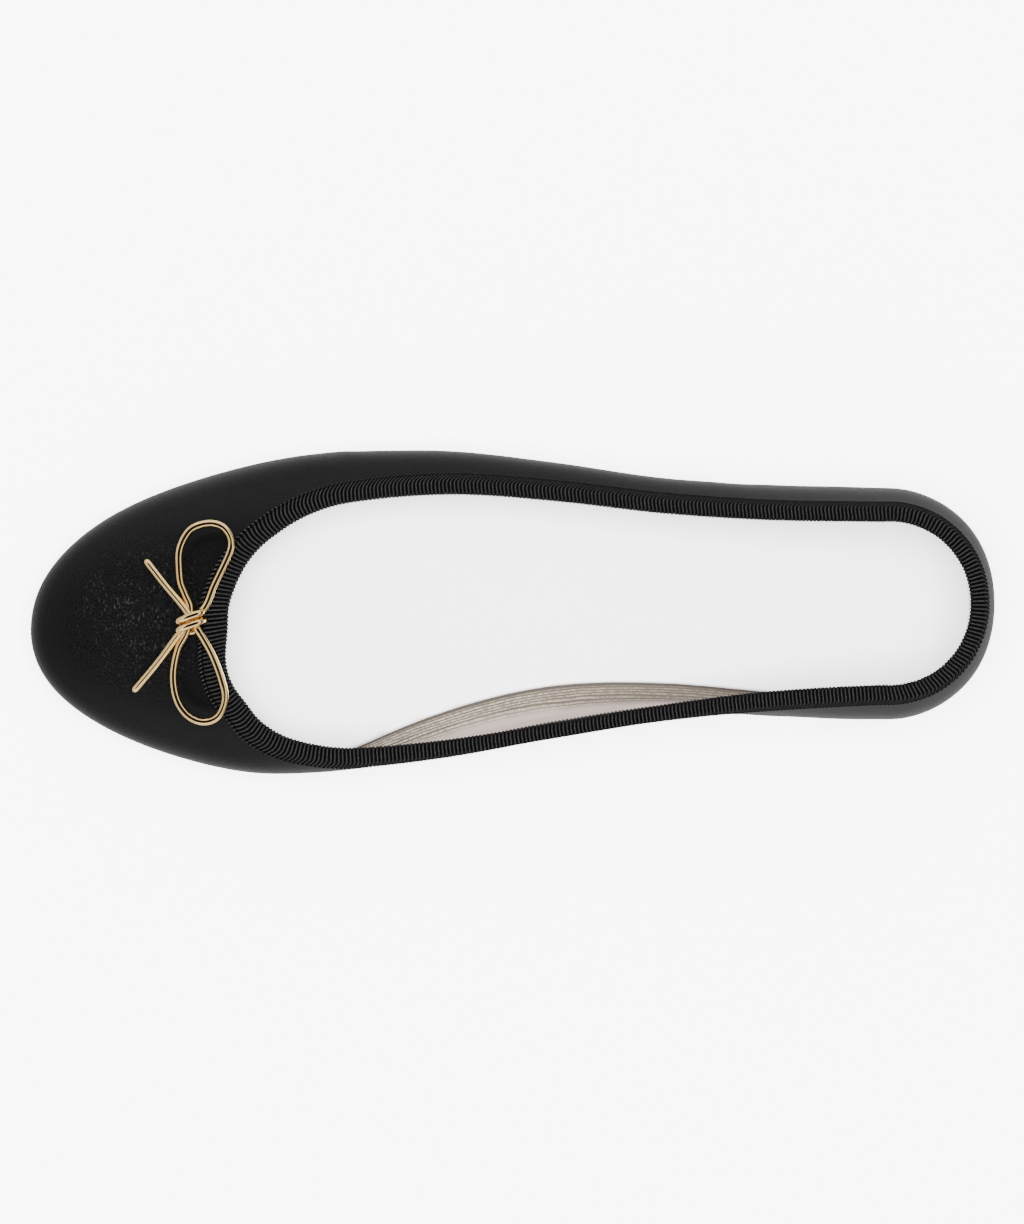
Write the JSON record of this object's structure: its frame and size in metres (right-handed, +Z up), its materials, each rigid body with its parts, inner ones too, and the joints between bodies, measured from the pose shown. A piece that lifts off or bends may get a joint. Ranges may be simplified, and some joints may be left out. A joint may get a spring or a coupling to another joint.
{
  "type": "ballet flat",
  "caption": "Right-foot ballet flat: low black leather upper with grosgrain-bound topline, gold wire bow on the vamp, pale insole, thin sole and low heel.",
  "frame": {"origin": "on the floor, under the middle of the shoe's bounding box", "axes": "+X towards the toe, +Y towards the inner side of the right foot, +Z up"},
  "size_m": [0.2456, 0.0826, 0.0578],
  "materials": {
    "upper_leather": "fine grained black leather with a soft sheen",
    "ribbon": "ribbed black grosgrain",
    "sock_leather": "smooth off-white sock leather",
    "sole_rubber": "plain black outsole",
    "heel_rubber": "plain black heel block",
    "gold_wire": "polished pale gold plate"
  },
  "bodies": {
    "root": {"upper": "upper_leather", "binding": "ribbon", "insole": "sock_leather", "outsole": "sole_rubber", "heel": "heel_rubber", "bow": "gold_wire", "bow_wrap": "gold_wire"}
  },
  "joints": []
}
